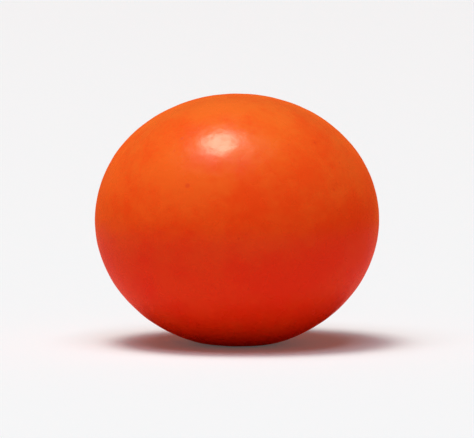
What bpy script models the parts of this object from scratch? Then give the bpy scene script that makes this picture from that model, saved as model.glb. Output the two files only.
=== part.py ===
"""A round panned sweet: a soft ball under a smooth orange sugar shell.

The ball is wider than it is high. Slow swells run over its shell, where the coats of syrup dried
a little thicker or thinner. It rests on a small flat underneath.

Frame: metres, +Z up. The origin is on the table, under the middle of the sweet. +X runs
along its width and +Y towards its back.
"""

import math

import bmesh
import bpy
from mathutils import Vector, noise

MM = 0.001

# The sweet's outer size as it stands.
WIDTH = 19.4 * MM
DEPTH = 18.6 * MM
HEIGHT = 17.1 * MM

# The small flat underneath, on which the sweet rests.
REST_SPOT_DIAMETER = 4.4 * MM

# The swells of the shell: their height, and how many run across a half-width.
SWELL_HEIGHT = 0.10 * MM
SWELLS = 0.95
SWELL_ORIGIN = Vector((3.1, 7.4, 1.9))

SHELL_SUBDIVISIONS = 5
SHELL_COLOUR = (0.80, 0.085, 0.012, 1.0)
SHELL_ROUGHNESS = 0.30

# The size of the whole ball, before its underside is pressed flat.
SPOT_SHARE = REST_SPOT_DIAMETER / WIDTH
BALL_HEIGHT = 2 * HEIGHT / (1 + math.sqrt(1 - SPOT_SHARE * SPOT_SHARE))
BALL_HALF = Vector((WIDTH, DEPTH, BALL_HEIGHT)) / 2
PRESSED_OFF = BALL_HEIGHT - HEIGHT

# Corners of the mesh closer together than this at the rim of the flat are joined into one.
RIM_MARGIN = 0.15 * MM


def clear_scene():
    """Removes what the scene holds at the start."""
    for thing in list(bpy.data.objects):
        bpy.data.objects.remove(thing)


def ellipsoid_radius(way):
    """Distance from the middle to the true ellipsoid, in the direction of the unit vector way."""
    return 1.0 / math.sqrt(sum((part / half) ** 2 for part, half in zip(way, BALL_HALF)))


def swell(way):
    """Height of the shell above the true ellipsoid there, from about -SWELL_HEIGHT to SWELL_HEIGHT."""
    return SWELL_HEIGHT * noise.noise(SWELL_ORIGIN + way * SWELLS)


def fit_to_size(ball):
    """Scales the ball to its size exactly, with the plane of its resting flat at the table."""
    low = Vector([min(vert.co[axis] for vert in ball.verts) for axis in range(3)])
    high = Vector([max(vert.co[axis] for vert in ball.verts) for axis in range(3)])
    middle = (low + high) / 2
    scale = [2 * half / side for half, side in zip(BALL_HALF, high - low)]
    bmesh.ops.translate(ball, verts=ball.verts, vec=-middle)
    bmesh.ops.scale(ball, verts=ball.verts, vec=scale)
    bmesh.ops.translate(ball, verts=ball.verts, vec=(0, 0, BALL_HALF.z - PRESSED_OFF))


def press_flat(ball):
    """Takes off what lies below the table and closes the ball with its round resting flat."""
    everything = ball.verts[:] + ball.edges[:] + ball.faces[:]
    bmesh.ops.bisect_plane(
        ball, geom=everything, plane_co=(0, 0, 0), plane_no=(0, 0, -1), clear_outer=True)
    rim_verts = [vert for vert in ball.verts if vert.is_boundary]
    bmesh.ops.remove_doubles(ball, verts=rim_verts, dist=RIM_MARGIN)
    join_to_rim = {}
    for edge in ball.edges:
        lower, upper = sorted(edge.verts, key=lambda vert: vert.co.z)
        if lower.is_boundary and not upper.is_boundary and edge.calc_length() < RIM_MARGIN:
            join_to_rim[upper] = lower
    bmesh.ops.weld_verts(ball, targetmap=join_to_rim)
    rim = [edge for edge in ball.edges if edge.is_boundary]
    bmesh.ops.edgeloop_fill(ball, edges=rim)
    for edge in rim:
        edge.smooth = False
    bmesh.ops.recalc_face_normals(ball, faces=ball.faces)


def shell_material():
    """The waxed orange sugar of the shell."""
    material = bpy.data.materials.new("orange_shell")
    material.use_nodes = True
    surface = material.node_tree.nodes["Principled BSDF"]
    surface.inputs["Base Color"].default_value = SHELL_COLOUR
    surface.inputs["Roughness"].default_value = SHELL_ROUGHNESS
    surface.inputs["Metallic"].default_value = 0.0
    return material


def make_dragee():
    """The whole sweet, one closed solid."""
    ball = bmesh.new()
    bmesh.ops.create_icosphere(ball, subdivisions=SHELL_SUBDIVISIONS, radius=1.0)
    for vert in ball.verts:
        way = vert.co.normalized()
        vert.co = way * (ellipsoid_radius(way) + swell(way))
    fit_to_size(ball)
    press_flat(ball)
    mesh = bpy.data.meshes.new("dragee")
    ball.to_mesh(mesh)
    ball.free()
    mesh.materials.append(shell_material())
    mesh.shade_smooth()
    dragee = bpy.data.objects.new("dragee", mesh)
    bpy.context.scene.collection.objects.link(dragee)


clear_scene()
make_dragee()
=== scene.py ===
"""Dresses the panned sweet: its waxed orange sugar shell, on a pale studio floor."""

import math
import random

import bpy
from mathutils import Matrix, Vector


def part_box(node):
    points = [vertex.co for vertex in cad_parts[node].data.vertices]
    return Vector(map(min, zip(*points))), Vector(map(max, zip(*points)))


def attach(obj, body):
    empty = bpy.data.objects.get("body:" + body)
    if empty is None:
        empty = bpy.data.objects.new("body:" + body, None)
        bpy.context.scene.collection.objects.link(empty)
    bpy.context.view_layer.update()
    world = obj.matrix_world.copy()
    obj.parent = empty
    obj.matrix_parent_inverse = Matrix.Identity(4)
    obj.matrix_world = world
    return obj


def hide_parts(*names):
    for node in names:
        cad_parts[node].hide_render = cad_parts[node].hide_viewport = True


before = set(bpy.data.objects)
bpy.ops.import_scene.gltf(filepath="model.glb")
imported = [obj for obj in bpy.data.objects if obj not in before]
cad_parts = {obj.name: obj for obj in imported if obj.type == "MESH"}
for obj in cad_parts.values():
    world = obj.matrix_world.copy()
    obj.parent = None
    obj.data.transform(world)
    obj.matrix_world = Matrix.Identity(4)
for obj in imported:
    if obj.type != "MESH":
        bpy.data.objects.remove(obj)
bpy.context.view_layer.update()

MM = 0.001

# The sweet's place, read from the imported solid.
LOW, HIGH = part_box("dragee")
MIDDLE = (LOW + HIGH) / 2
SIZE = HIGH - LOW

# The photograph's view: how far above the sweet's own level the eye is, how far away it is, the
# share of the frame's width that the sweet takes, the sensor's width in millimetres, and the
# nearest and farthest that the eye sees.
EYE_ELEVATION = math.radians(5.2)
EYE_DISTANCE = 0.50
SHARE_OF_FRAME_WIDTH = 0.60
SENSOR_WIDTH = 36.0
EYE_CLIP = (0.01, 10.0)

# The shell's mesh: the cuts across each side of the starting cube, and how often it is then halved.
CUBE_CUTS = 7
HALVINGS = 4

# The form that the shell is drawn onto: how near its loose corners are to be merged, and how
# often it is halved to round it.
FORM_MERGE = 0.001 * MM
FORM_HALVINGS = 2

# How the drawn shell is evened out: how far each corner goes towards its neighbours, and how often.
EVENING_SHARE = 0.5
EVENING_ROUNDS = 24

# The shell's relief, in metres. Each ripple is (size across, height from hollow to crest).
PAN_RIPPLE = (3.2 * MM, 0.030 * MM)
SYRUP_RIPPLE = (0.8 * MM, 0.030 * MM)

# Small marks in the shell: (how many, how far each reaches, how deep it goes). Crumbs under the
# coat stand out, so their depth is negative.
PINHOLES = (22, 0.28 * MM, 0.008 * MM)
CRUMBS = (10, 0.40 * MM, -0.006 * MM)
KNOCKS = (7, 1.20 * MM, 0.014 * MM)
MARKS_SEED = 11

# How far the underside is let down below the table before it is pressed level, so that no
# ripple is left in its flat.
PRESSED_IN = 0.04 * MM

# The colours of the coat, of the wax where it is rubbed, and of the freckles.
THICK_COAT = (0.790, 0.095, 0.010, 1.0)
THIN_COAT = (0.800, 0.149, 0.017, 1.0)
RUBBED_WAX = (0.81, 0.180, 0.032, 1.0)
FRECKLE = (0.62, 0.060, 0.010, 1.0)

# The pattern of thick and thin coat: how far its swells are across, how finely they are broken
# up, where the pattern starts, and the values between which the coat goes from thick to thin.
COAT_ACROSS = 3.4 * MM
COAT_DETAIL = 3.0
COAT_FINENESS = 0.66
COAT_ORIGIN = Vector((38.6, 29.8, -16.9)) * MM
COAT_EDGE = (0.40, 0.80)

# The way to the upper left, where the light falls from, towards which the coat is painted paler and
# yellower as painted light, and how much paler it is at its edge there.
PAINTED_LIGHT_SIDE = Vector((-0.8, 0.0, 0.6))
PAINTED_LIGHT_PALER = 0.10

# The sugar's grain: its size, its height, and how much it shows in the coat's colour.
GRAIN_ACROSS = 0.26 * MM
GRAIN_HEIGHT = 0.006 * MM
GRAIN_IN_COAT = 0.20

# Where the wax was rubbed while the sweet tumbled, as directions from its middle.
RUB_WAYS = [
    Vector((-0.93, -0.22, 0.30)),
    Vector((0.86, -0.46, -0.21)),
    Vector((0.38, 0.89, 0.25)),
    Vector((-0.48, 0.80, -0.36)),
    Vector((0.42, 0.10, 0.90)),
    Vector((-0.25, -0.72, -0.65)),
]
# How far each rub reaches, between which shares of that it fades out, the size and the depth of
# its rags, and how much of its colour shows.
RUB_REACH = 1.5 * MM
RUB_EDGE = (0.6, 1.4)
RAG_ACROSS = 0.5 * MM
RAG_DEPTH = 0.9 * MM
RUB_SHARE = 0.30

# Freckles: how far apart they are, how far their gaps are across, how much those thin them out,
# the values between which one fades out, and how much of its colour shows.
FRECKLE_SPACING = 1.5 * MM
FRECKLE_GAPS = 2.4 * MM
FRECKLE_THINNING = 0.35
FRECKLE_EDGE = (0.20, 0.27)
FRECKLE_SHARE = 0.45

# The wax: its roughness, the size of the patches in its polish, how much they, the rubs and the
# freckles change the roughness, and its index of refraction.
WAX_ROUGHNESS = 0.27
POLISH_ACROSS = 1.6 * MM
POLISH_UNEVEN = 0.14
RUB_ROUGHER = 0.14
FRECKLE_ROUGHER = 0.10
WAX_IOR = 1.45


# Modelling by hand

def deselect_all():
    """Leaves nothing selected, because an operator acts on all that is."""
    bpy.ops.object.select_all(action="DESELECT")


def pick(piece):
    """Makes this piece the only one that operators act on."""
    deselect_all()
    piece.select_set(True)
    bpy.context.view_layer.objects.active = piece


def edit(piece, *steps):
    """Runs the steps on the whole mesh in edit mode. A step is an operator and its settings."""
    pick(piece)
    bpy.ops.object.mode_set(mode="EDIT")
    bpy.ops.mesh.select_all(action="SELECT")
    for operator, settings in steps:
        operator(**settings)
    bpy.ops.object.mode_set(mode="OBJECT")


def clear_corners(piece):
    """Leaves none of the piece's corners selected, ready for some to be picked by place."""
    pick(piece)
    bpy.ops.object.mode_set(mode="EDIT")
    bpy.ops.mesh.select_mode(type="VERT")
    bpy.ops.mesh.select_all(action="DESELECT")
    bpy.ops.object.mode_set(mode="OBJECT")


def finish_with(piece, kind, **settings):
    """Adds a modifier and applies it."""
    pick(piece)
    modifier = piece.modifiers.new(kind.lower(), kind)
    for name, value in settings.items():
        setattr(modifier, name, value)
    bpy.ops.object.modifier_apply(modifier=modifier.name)


def halve(piece, times):
    """Subdivides the piece smoothly, so many times."""
    finish_with(piece, "SUBSURF", levels=times, render_levels=times)


def settle_place(piece):
    """Puts the piece's place and size in its mesh, with its object at the origin."""
    pick(piece)
    bpy.ops.object.transform_apply(location=True, rotation=True, scale=True)


def rounded_form():
    """A merged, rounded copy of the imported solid, as the form that the shell is drawn onto."""
    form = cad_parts["dragee"].copy()
    form.data = form.data.copy()
    form.name = "form"
    bpy.context.scene.collection.objects.link(form)
    edit(form, (bpy.ops.mesh.remove_doubles, {"threshold": FORM_MERGE}))
    halve(form, FORM_HALVINGS)
    return form


def ripple_texture(name, across):
    """Soft noise whose swells are so far across."""
    texture = bpy.data.textures.new(name, "CLOUDS")
    texture.noise_scale = across
    texture.noise_depth = 1
    texture.noise_basis = "ORIGINAL_PERLIN"
    return texture


def push(piece, ways, reach, depth):
    """Presses the shell in by depth where each way from its middle leaves it, fading to reach."""
    clear_corners(piece)
    corners = piece.data.vertices
    for way in ways:
        _, spot, _, face = piece.ray_cast(MIDDLE, way)
        around = piece.data.polygons[face].vertices
        nearest = min(around, key=lambda corner: (corners[corner].co - spot).length)
        corners[nearest].select = True
    bpy.ops.object.mode_set(mode="EDIT")
    bpy.ops.transform.shrink_fatten(
        value=-depth, use_proportional_edit=True,
        proportional_edit_falloff="SMOOTH", proportional_size=reach)
    bpy.ops.object.mode_set(mode="OBJECT")


def random_ways(count, draw):
    """Unit vectors drawn evenly over all directions."""
    ways = []
    for _ in range(count):
        rise = draw.uniform(-1, 1)
        turn = draw.uniform(0, 2 * math.pi)
        level = math.sqrt(1 - rise * rise)
        ways.append(Vector((level * math.cos(turn), level * math.sin(turn), rise)))
    return ways


def fit_between(piece, low, high):
    """Brings the shell to exactly this box, after its relief has moved its outline."""
    corners = [Vector(corner) for corner in piece.bound_box]
    found_low = Vector([min(corner[axis] for corner in corners) for axis in range(3)])
    found_high = Vector([max(corner[axis] for corner in corners) for axis in range(3)])
    scale = [wanted / found for wanted, found in zip(high - low, found_high - found_low)]
    edit(
        piece,
        (bpy.ops.transform.translate, {"value": (low + high - found_low - found_high) / 2}),
        (bpy.ops.transform.resize, {"value": scale, "center_override": (low + high) / 2}),
    )


def press_underside(piece):
    """Levels what lies below the table, which leaves the small flat that the sweet rests on."""
    clear_corners(piece)
    for corner in piece.data.vertices:
        corner.select = corner.co.z < LOW.z
    bpy.ops.object.mode_set(mode="EDIT")
    bpy.ops.transform.resize(value=(1, 1, 0), center_override=(0, 0, LOW.z))
    bpy.ops.object.mode_set(mode="OBJECT")


def make_shell():
    """The sugar shell: a cube rounded to a ball, drawn onto the solid's form, with its relief."""
    deselect_all()
    bpy.ops.mesh.primitive_cube_add(size=1.0, location=MIDDLE)
    shell = bpy.context.object
    shell.name = "sugar_shell"
    # The cube, which is the square root of 3 from corner to corner, comes out 1.29 wide when it is
    # rounded. Sized by its corners, it starts inside the form, about three quarters as wide.
    edit(
        shell,
        (bpy.ops.mesh.subdivide, {"number_cuts": CUBE_CUTS}),
        (bpy.ops.transform.tosphere, {"value": 1.0, "center_override": MIDDLE}),
        (bpy.ops.transform.resize, {"value": SIZE / math.sqrt(3), "center_override": MIDDLE}),
    )
    settle_place(shell)
    halve(shell, HALVINGS)
    form = rounded_form()
    finish_with(shell, "SHRINKWRAP", target=form, wrap_method="NEAREST_SURFACEPOINT")
    finish_with(shell, "SMOOTH", factor=EVENING_SHARE, iterations=EVENING_ROUNDS)
    bpy.data.objects.remove(form)
    for name, (across, height) in (("pan_ripple", PAN_RIPPLE), ("syrup_ripple", SYRUP_RIPPLE)):
        finish_with(
            shell, "DISPLACE", texture=ripple_texture(name, across), texture_coords="LOCAL",
            strength=height, mid_level=0.5)
    draw = random.Random(MARKS_SEED)
    for count, reach, depth in (KNOCKS, CRUMBS, PINHOLES):
        push(shell, random_ways(count, draw), reach, depth)
    fit_between(shell, LOW - Vector((0, 0, PRESSED_IN)), HIGH)
    press_underside(shell)
    pick(shell)
    bpy.ops.object.shade_smooth()
    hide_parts("dragee")
    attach(shell, "root")
    return shell


# Materials

class Wire:
    """One output of a shader node. An expression on wires and numbers adds its Math nodes."""

    def __init__(self, finish, socket):
        self.finish = finish
        self.socket = socket

    def math(self, operation, first, second):
        return self.finish.node("ShaderNodeMath", {"operation": operation}, {0: first, 1: second})

    def __add__(self, other):
        return self.math("ADD", self, other)

    def __radd__(self, other):
        return self.math("ADD", other, self)

    def __sub__(self, other):
        return self.math("SUBTRACT", self, other)

    def __rsub__(self, other):
        return self.math("SUBTRACT", other, self)

    def __mul__(self, other):
        return self.math("MULTIPLY", self, other)

    def __rmul__(self, other):
        return self.math("MULTIPLY", other, self)

    def most(self, other):
        return self.math("MAXIMUM", self, other)


class Finish:
    """A material in the making, with one Principled shader."""

    def __init__(self, name):
        self.material = bpy.data.materials.new(name)
        self.material.use_nodes = True
        self.tree = self.material.node_tree
        self.shader = self.tree.nodes["Principled BSDF"]

    def node(self, kind, settings, sockets, output=0):
        """Adds a node, sets its settings, then feeds its sockets with values or wires."""
        made = self.tree.nodes.new(kind)
        for name, value in settings.items():
            setattr(made, name, value)
        self.feed(made, sockets)
        return Wire(self, made.outputs[output])

    def feed(self, node, sockets):
        """Gives each named or numbered socket of the node its value or its wire."""
        for name, value in sockets.items():
            if isinstance(value, Wire):
                self.tree.links.new(value.socket, node.inputs[name])
            else:
                node.inputs[name].default_value = value

    def surface(self, **sockets):
        """Feeds the shader's own sockets, whose names are written with _ for each space."""
        self.feed(self.shader, {name.replace("_", " "): value for name, value in sockets.items()})
        return self.material

    def place(self):
        """Where a point lies from the middle of the sweet, in metres."""
        coordinates = self.node("ShaderNodeTexCoord", {}, {}, "Object")
        return self.node("ShaderNodeMapping", {}, {"Vector": coordinates, "Location": -MIDDLE})

    def distance(self, place, spot):
        """How far the place is from the spot, in metres."""
        settings = {"operation": "DISTANCE"}
        return self.node("ShaderNodeVectorMath", settings, {0: place, 1: spot}, "Value")

    def along(self, place, way):
        """How far the place lies from the middle, along that way, in metres."""
        settings = {"operation": "DOT_PRODUCT"}
        return self.node("ShaderNodeVectorMath", settings, {0: place, 1: way.normalized()}, "Value")

    def shift(self, place, by):
        """The place, moved by so much."""
        return self.node("ShaderNodeVectorMath", {"operation": "ADD"}, {0: place, 1: by})

    def noise(self, place, across, detail=2.0, fineness=0.5):
        """Soft noise from 0 to 1, with swells so far across. Fineness strengthens the small ones."""
        sockets = {"Vector": place, "Scale": 1 / across, "Detail": detail, "Roughness": fineness}
        return self.node("ShaderNodeTexNoise", {}, sockets, "Fac")

    def fade(self, value, start, end):
        """1 where the value is below start, 0 where it is above end, and smooth between them."""
        sockets = {"Value": value, "From Min": start, "From Max": end, "To Min": 1.0, "To Max": 0.0}
        return self.node("ShaderNodeMapRange", {"interpolation_type": "SMOOTHSTEP"}, sockets)

    def blend(self, share, first, second):
        """The colour that is first where share is 0 and second where it is 1."""
        # A Mix node takes its two colours at sockets 6 and 7 and gives their mix at output 2.
        sockets = {"Factor": share, 6: first, 7: second}
        return self.node("ShaderNodeMix", {"data_type": "RGBA"}, sockets, 2)

    def rubs(self, place):
        """1 on each ragged patch where the wax is rubbed, and 0 elsewhere."""
        rags = self.noise(place, RAG_ACROSS) * RAG_DEPTH
        start, end = (share * RUB_REACH for share in RUB_EDGE)
        patches = 0.0
        for way in RUB_WAYS:
            spot = Vector([part * half for part, half in zip(way.normalized(), SIZE / 2)])
            patch = self.fade(self.distance(place, spot) + rags, start, end)
            patches = patch.most(patches)
        return patches

    def freckles(self, place):
        """1 in the middle of sparse small spots of uneven size, and 0 between them."""
        sockets = {"Vector": place, "Scale": 1 / FRECKLE_SPACING}
        apart = self.node("ShaderNodeTexVoronoi", {"feature": "F1"}, sockets, "Distance")
        gaps = self.noise(place, FRECKLE_GAPS)
        return self.fade(apart + FRECKLE_THINNING * gaps, *FRECKLE_EDGE)


def waxed_sugar():
    """Opaque orange sugar under wax, a little uneven in colour and in polish, and painted paler
    towards the lit upper left.
    """
    finish = Finish("waxed_orange_sugar")
    place = finish.place()
    coat = finish.noise(finish.shift(place, COAT_ORIGIN), COAT_ACROSS, COAT_DETAIL, COAT_FINENESS)
    grain = finish.noise(place, GRAIN_ACROSS)
    rub = finish.rubs(place)
    freckle = finish.freckles(place)
    # Painted light: the coat is painted paler and yellower towards the upper left, where the light
    # falls from.
    painted_light_lean = finish.along(place, PAINTED_LIGHT_SIDE) * (2 * PAINTED_LIGHT_PALER / SIZE.x)
    thin_coat_and_painted_light = 1 - finish.fade(coat + GRAIN_IN_COAT * grain + painted_light_lean, *COAT_EDGE)
    colour = finish.blend(thin_coat_and_painted_light, THICK_COAT, THIN_COAT)
    colour = finish.blend(RUB_SHARE * rub, colour, RUBBED_WAX)
    colour = finish.blend(FRECKLE_SHARE * freckle, colour, FRECKLE)
    polish = POLISH_UNEVEN * (finish.noise(place, POLISH_ACROSS) - 0.5)
    rough = WAX_ROUGHNESS + polish + RUB_ROUGHER * rub + FRECKLE_ROUGHER * freckle
    sockets = {"Height": grain, "Strength": 1.0, "Distance": GRAIN_HEIGHT}
    bump = finish.node("ShaderNodeBump", {}, sockets, "Normal")
    return finish.surface(Base_Color=colour, Roughness=rough, Normal=bump, IOR=WAX_IOR)


# The studio

# The floor: the radius of its level part, the radius of its curve up into the backdrop, the
# steps of that curve, and its sides.
FLOOR_RADIUS = 1.75
FLOOR_RISE = 0.90
FLOOR_STEPS = 10
FLOOR_SIDES = 96

# The paper is a little blue, so that it comes out neutral under the warm light, and its faint
# glow keeps the sweet's shadow from going too red.
PAPER_COLOUR = (0.705, 0.795, 0.903, 1.0)
PAPER_GLOW = 0.06
PAPER_ROUGHNESS = 0.9

# The soft boxes: how far away they stand, then the way to each from the sweet, its width and
# depth, its power, and the small one's colour.
LIGHT_DISTANCE = 5.0
GLINT_WAY = Vector((-0.146, -0.096, 0.954))
GLINT_SIZE = (1.48, 1.46)
GLINT_POWER = 134.0
GLINT_COLOUR = (0.98, 0.935, 0.75)
SOFT_WAY = Vector((-0.10, -0.19, 0.954))
SOFT_SIZE = (4.50, 4.00)
SOFT_POWER = 187.0

# The warm reflector: its colour near the sweet and far from it, the distances between which one
# fades into the other, its sides, the radius of its level part, the radius and height of its
# rim, and how far its level part lies below the floor.
NEAR_REFLECTOR = (0.70, 0.157, 0.140, 1.0)
FAR_REFLECTOR = (0.70, 0.152, 0.035, 1.0)
REFLECTOR_FADE = (0.02, 0.12)
REFLECTOR_SIDES = 64
REFLECTOR_RADIUS = 1.15
REFLECTOR_RIM_RADIUS = 1.55
REFLECTOR_RIM_HEIGHT = 0.545
REFLECTOR_DROP = 0.02 * MM

ROOM_COLOUR = (0.075, 0.045, 0.030, 1.0)


def start_disc(name, sides, radius, drop=0.0):
    """A flat disc, in edit mode and with its rim ready to be raised."""
    deselect_all()
    bpy.ops.mesh.primitive_circle_add(
        vertices=sides, radius=radius, fill_type="NGON", location=(0, 0, -drop))
    disc = bpy.context.object
    disc.name = name
    bpy.ops.object.mode_set(mode="EDIT")
    bpy.ops.mesh.select_mode(type="EDGE")
    bpy.ops.mesh.select_all(action="SELECT")
    return disc


def raise_rim(height, grow):
    """Extrudes the disc's rim up by height, and widens it by the factor grow."""
    bpy.ops.mesh.extrude_edges_move(TRANSFORM_OT_translate={"value": (0, 0, height)})
    bpy.ops.transform.resize(value=(grow, grow, 1.0), center_override=(0, 0, 0))


def make_floor():
    """A pale floor that curves up all round into the backdrop."""
    floor = start_disc("studio_floor", FLOOR_SIDES, FLOOR_RADIUS)
    step_turn = math.radians(90) / FLOOR_STEPS
    step_length = FLOOR_RISE * step_turn
    radius = FLOOR_RADIUS
    for step in range(FLOOR_STEPS):
        turn = step_turn * (step + 0.5)
        grow = (radius + step_length * math.cos(turn)) / radius
        raise_rim(step_length * math.sin(turn), grow)
        radius *= grow
    bpy.ops.object.mode_set(mode="OBJECT")
    bpy.ops.object.shade_smooth()
    settle_place(floor)
    finish = Finish("studio_paper")
    floor.data.materials.append(finish.surface(
        Base_Color=PAPER_COLOUR, Roughness=PAPER_ROUGHNESS,
        Emission_Color=(1.0, 1.0, 1.0, 1.0), Emission_Strength=PAPER_GLOW))
    floor.visible_diffuse = False
    floor.visible_glossy = False
    floor.visible_shadow = False


def make_reflector():
    """A shallow warm reflector, hidden from the eye, that sends soft light up from all round."""
    reflector = start_disc("warm_reflector", REFLECTOR_SIDES, REFLECTOR_RADIUS, REFLECTOR_DROP)
    raise_rim(REFLECTOR_RIM_HEIGHT, REFLECTOR_RIM_RADIUS / REFLECTOR_RADIUS)
    bpy.ops.object.mode_set(mode="OBJECT")
    settle_place(reflector)
    finish = Finish("warm_paper")
    near = finish.fade(finish.distance(finish.place(), Vector()), *REFLECTOR_FADE)
    colour = finish.blend(near, FAR_REFLECTOR, NEAR_REFLECTOR)
    reflector.data.materials.append(finish.surface(
        Base_Color=colour, Roughness=PAPER_ROUGHNESS, Specular_IOR_Level=0.0))
    reflector.visible_camera = False
    reflector.visible_shadow = False


def aim(thing, place, target):
    """Stands a camera or a light at a place, looking at the target."""
    thing.location = place
    thing.rotation_euler = (target - place).to_track_quat("-Z", "Y").to_euler()


def make_softbox(name, way, size, power):
    """A soft box of that width and depth, shining on the sweet from that way."""
    light = bpy.data.lights.new(name, "AREA")
    light.shape = "RECTANGLE"
    light.size, light.size_y = size
    light.energy = power
    box = bpy.data.objects.new(name, light)
    bpy.context.scene.collection.objects.link(box)
    aim(box, MIDDLE + way.normalized() * LIGHT_DISTANCE, MIDDLE)
    return box


def make_lights():
    """A small box, which makes the highlight, and a broad one that shows in no reflection."""
    glint = make_softbox("glint_box", GLINT_WAY, GLINT_SIZE, GLINT_POWER)
    glint.data.color = GLINT_COLOUR
    soft = make_softbox("soft_box", SOFT_WAY, SOFT_SIZE, SOFT_POWER)
    soft.visible_glossy = False


def make_room():
    """Dim light from all round."""
    world = bpy.data.worlds.new("room")
    world.use_nodes = True
    world.node_tree.nodes["Background"].inputs["Color"].default_value = ROOM_COLOUR
    bpy.context.scene.world = world


def make_camera():
    """The photograph's view of the sweet."""
    lens = bpy.data.cameras.new("eye")
    lens.sensor_width = SENSOR_WIDTH
    lens.lens = SENSOR_WIDTH * EYE_DISTANCE * SHARE_OF_FRAME_WIDTH / SIZE.x
    lens.clip_start, lens.clip_end = EYE_CLIP
    eye = bpy.data.objects.new("eye", lens)
    bpy.context.scene.collection.objects.link(eye)
    back = Vector((0, -math.cos(EYE_ELEVATION), math.sin(EYE_ELEVATION)))
    aim(eye, MIDDLE + back * EYE_DISTANCE, MIDDLE)
    bpy.context.scene.camera = eye


shell = make_shell()
shell.data.materials.append(waxed_sugar())
make_floor()
make_reflector()
make_lights()
make_room()
make_camera()
bpy.context.scene.view_settings.view_transform = "Standard"
